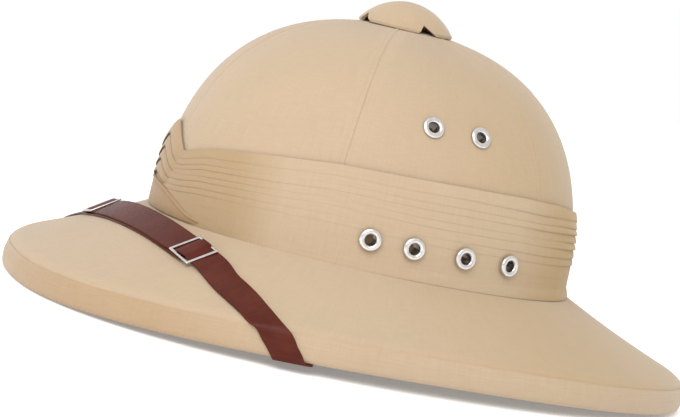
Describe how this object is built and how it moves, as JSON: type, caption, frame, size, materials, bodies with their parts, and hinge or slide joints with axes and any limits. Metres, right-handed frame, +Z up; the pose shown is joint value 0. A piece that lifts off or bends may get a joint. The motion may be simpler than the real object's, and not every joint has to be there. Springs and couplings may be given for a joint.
{
  "type": "pith helmet",
  "caption": "Cloth-covered pith helmet with a pleated band, metal eyelets, a vent cap and a leather chin strap stowed over the front of the brim.",
  "frame": {"origin": "middle of the brim in plan, on the level on which the brim's edge rests", "axes": "+Z up through the vent cap, -Y towards the front of the hat, +X towards the wearer's left side"},
  "size_m": [0.2744, 0.3646, 0.175],
  "materials": {
    "khaki_cloth": "matt khaki cotton drill",
    "band_cloth": "matt khaki cotton, pleated",
    "brown_leather": "glossy dark red-brown leather",
    "nickel": "bright nickel plate"
  },
  "bodies": {
    "root": {"shell": "khaki_cloth", "brim_binding": "khaki_cloth", "vent_cap": "khaki_cloth", "puggaree": "band_cloth", "puggaree_plait": "band_cloth", "puggaree_wrap": "band_cloth", "strap_left": "brown_leather", "strap_right": "brown_leather", "slide_left": "nickel", "slide_right": "nickel", "anchor_left": "nickel", "anchor_right": "nickel", "eyelet_low_left_1": "nickel", "eyelet_low_left_2": "nickel", "eyelet_low_left_3": "nickel", "eyelet_low_left_4": "nickel", "eyelet_low_right_1": "nickel", "eyelet_low_right_2": "nickel", "eyelet_low_right_3": "nickel", "eyelet_low_right_4": "nickel", "eyelet_high_left_1": "nickel", "eyelet_high_left_2": "nickel", "eyelet_high_right_1": "nickel", "eyelet_high_right_2": "nickel"}
  },
  "joints": []
}
